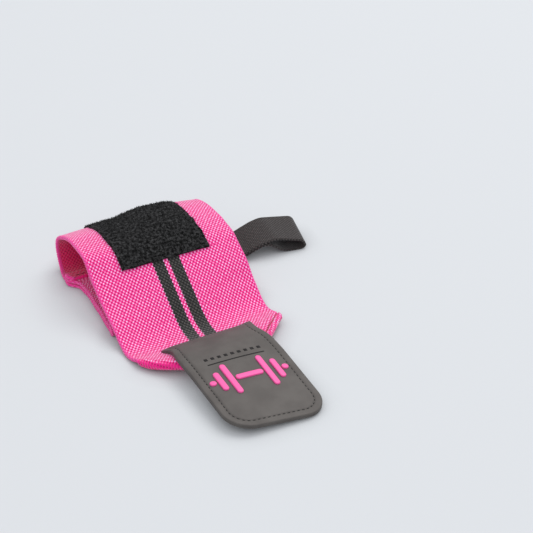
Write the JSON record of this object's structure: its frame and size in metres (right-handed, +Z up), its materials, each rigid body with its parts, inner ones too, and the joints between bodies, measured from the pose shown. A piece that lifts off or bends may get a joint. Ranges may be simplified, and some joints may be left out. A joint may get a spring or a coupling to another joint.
{
  "type": "elastic wrist wrap",
  "caption": "Elastic wrist support wrap with a hook-and-pile closure tab and a thumb loop, lying partly open.",
  "frame": {"origin": "on the underside of the band's flat ground layer, at the middle of the band's width", "axes": "+X across the band towards the thumb loop, -Y towards the closure tab, +Z up"},
  "size_m": [0.1288, 0.174, 0.0321],
  "materials": {
    "elastic": "woven elastic, hot pink with two black stripes",
    "webbing": "ribbed elastic webbing, charcoal",
    "pile": "brushed loop pile, black",
    "hook": "moulded nylon hooks, black",
    "tab_rubber": "moulded soft rubber, charcoal, matte",
    "badge": "raised moulded rubber, pink",
    "thread": "polyester sewing thread, black"
  },
  "bodies": {
    "wrap": {"band_ground_layer": "elastic", "band_inner_end": "elastic", "hem_stitches": "thread", "thumb_loop_root": "webbing", "loop_bartacks": "thread"},
    "thumb_loop": {"thumb_loop": "webbing"},
    "flap": {"band_top_layer": "elastic", "pile_patch": "pile", "pile_patch_stitches": "thread"},
    "tab": {"band_tip": "elastic", "left_corner_fold": "elastic", "right_corner_fold": "elastic", "corner_fold_stitches": "thread", "closure_tab": "tab_rubber", "hook_patch": "hook", "tab_border_stitches": "thread", "tab_seam_stitches": "thread", "badge_bar": "badge", "badge_inner_plates": "badge", "badge_outer_plates": "badge", "tab_rule": "tab_rubber", "tab_dashes": "tab_rubber"}
  },
  "joints": [
    {"name": "flap_lift", "type": "hinge", "parent": "wrap", "child": "flap", "pos_m": [0, 0.04912, 0.01507], "axis": [-1, 0, 0], "range_deg": [0, 60]},
    {"name": "tab_fold", "type": "hinge", "parent": "flap", "child": "tab", "pos_m": [0, -0.0492, 0.00206], "axis": [-1, 0, 0], "range_deg": [0, 125]},
    {"name": "loop_lift", "type": "hinge", "parent": "wrap", "child": "thumb_loop", "pos_m": [0.042, 0.0148, 0.0068], "axis": [0, -1, 0], "range_deg": [0, 80]}
  ]
}
